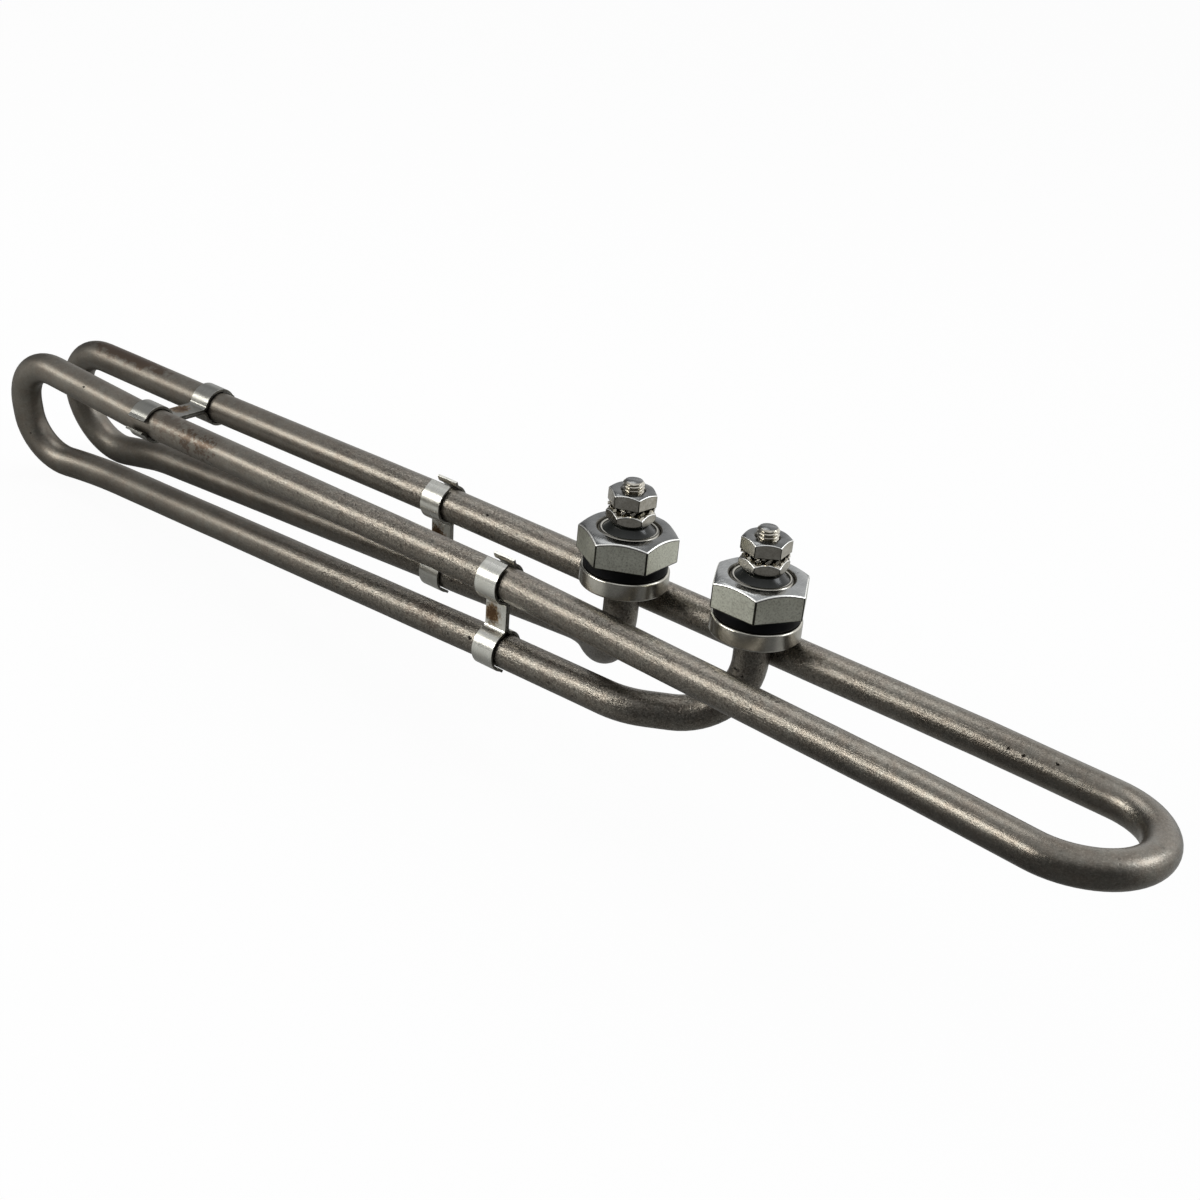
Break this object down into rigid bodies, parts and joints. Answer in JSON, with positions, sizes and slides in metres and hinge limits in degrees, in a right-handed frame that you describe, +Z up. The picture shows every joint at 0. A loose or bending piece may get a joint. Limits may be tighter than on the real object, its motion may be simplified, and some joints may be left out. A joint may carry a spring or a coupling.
{
  "type": "tubular heating element",
  "caption": "Bent mineral-filled tubular heating element with threaded bushing terminals, rubber gaskets, stud nuts, toothed washers and spot-welded spacer clips.",
  "frame": {"origin": "midway between the two terminals, on the upper faces of their collars, where the wall that carries the element lies", "axes": "+X along the tubes towards the single wide bend, +Y to the rear, +Z up along the terminal studs"},
  "size_m": [0.3428, 0.0413, 0.0618],
  "materials": {
    "sheath": "satin grey-brown nickel alloy, annealed",
    "mineral_fill": "compacted white magnesia",
    "resistance_wire": "oxidised wire",
    "cold_pin": "drawn steel",
    "plated_steel": "nickel plated",
    "seal": "smooth grey seal",
    "machined_steel": "turned",
    "rubber": "matt",
    "nickel_plate": "satin nickel plate",
    "spring_steel": "plated",
    "clip_strip": "bright rolled stainless"
  },
  "bodies": {
    "root": {"sheath_tube": "sheath", "magnesia_fill": "mineral_fill", "resistance_coil": "resistance_wire", "left_cold_pin": "cold_pin", "left_terminal_stud": "plated_steel", "left_end_seal": "seal", "left_threaded_bushing": "machined_steel", "left_gasket": "rubber", "left_mounting_nut": "nickel_plate", "left_lower_terminal_nut": "plated_steel", "left_toothed_washer": "spring_steel", "left_upper_terminal_nut": "plated_steel", "right_cold_pin": "cold_pin", "right_terminal_stud": "plated_steel", "right_end_seal": "seal", "right_threaded_bushing": "machined_steel", "right_gasket": "rubber", "right_mounting_nut": "nickel_plate", "right_lower_terminal_nut": "plated_steel", "right_toothed_washer": "spring_steel", "right_upper_terminal_nut": "plated_steel", "front_clip_outer_strip": "clip_strip", "front_clip_inner_strip": "clip_strip", "rear_clip_inner_strip": "clip_strip", "rear_clip_outer_strip": "clip_strip", "end_clip_upper_strip": "clip_strip", "end_clip_lower_strip": "clip_strip"}
  },
  "joints": []
}
